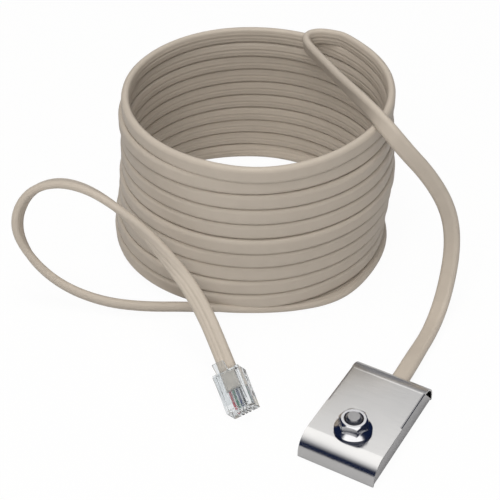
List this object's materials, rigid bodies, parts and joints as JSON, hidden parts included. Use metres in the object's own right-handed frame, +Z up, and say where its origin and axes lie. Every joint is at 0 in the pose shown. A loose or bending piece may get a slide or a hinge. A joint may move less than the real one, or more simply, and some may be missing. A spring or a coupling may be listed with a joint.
{
  "type": "battery temperature sensor",
  "caption": "Battery temperature sensor: a folded sheet-metal clip with a flange nut on a long flat cord, wound into a coil and ending in a clear modular plug.",
  "frame": {"origin": "centre of the clip's bottom face, on the surface that it lies on", "axes": "+Y along the clip towards the end where the cord leaves it, +X to the right seen from the other end, +Z up towards the nut"},
  "size_m": [0.1246, 0.1198, 0.0601],
  "materials": {
    "clip_steel": "nickel-plated, drawn grain",
    "nut_zinc": "bright zinc plate",
    "resin": "cast resin",
    "bead_epoxy": "dipped epoxy",
    "sleeve_black": "shrunk tubing",
    "tinned_wire": "tinned",
    "cord_jacket": "satin beige jacket with fine ribs",
    "clear_plastic": "clear",
    "contact_metal": "plated",
    "wire_red": "insulation",
    "wire_green": "insulation",
    "wire_navy": "insulation",
    "wire_black": "insulation"
  },
  "bodies": {
    "root": {"base_tray": "clip_steel", "clip_jacket": "cord_jacket", "clip_wire_black": "wire_black", "clip_wire_green": "wire_green", "clip_wire_navy": "wire_navy", "clip_wire_red": "wire_red", "cord_coil": "cord_jacket", "cord_lead_plug": "cord_jacket", "cord_lead_sensor": "cord_jacket", "cover": "clip_steel", "flange_nut": "nut_zinc", "plug_body": "clear_plastic", "plug_contact_1": "contact_metal", "plug_contact_2": "contact_metal", "plug_contact_3": "contact_metal", "plug_contact_4": "contact_metal", "plug_jacket": "cord_jacket", "plug_wire_black": "wire_black", "plug_wire_green": "wire_green", "plug_wire_navy": "wire_navy", "plug_wire_red": "wire_red", "potting_block": "resin", "splice_sleeve_left": "sleeve_black", "splice_sleeve_right": "sleeve_black", "thermistor_bead": "bead_epoxy", "thermistor_lead_left": "tinned_wire", "thermistor_lead_right": "tinned_wire", "weld_stud": "nut_zinc"}
  },
  "joints": []
}
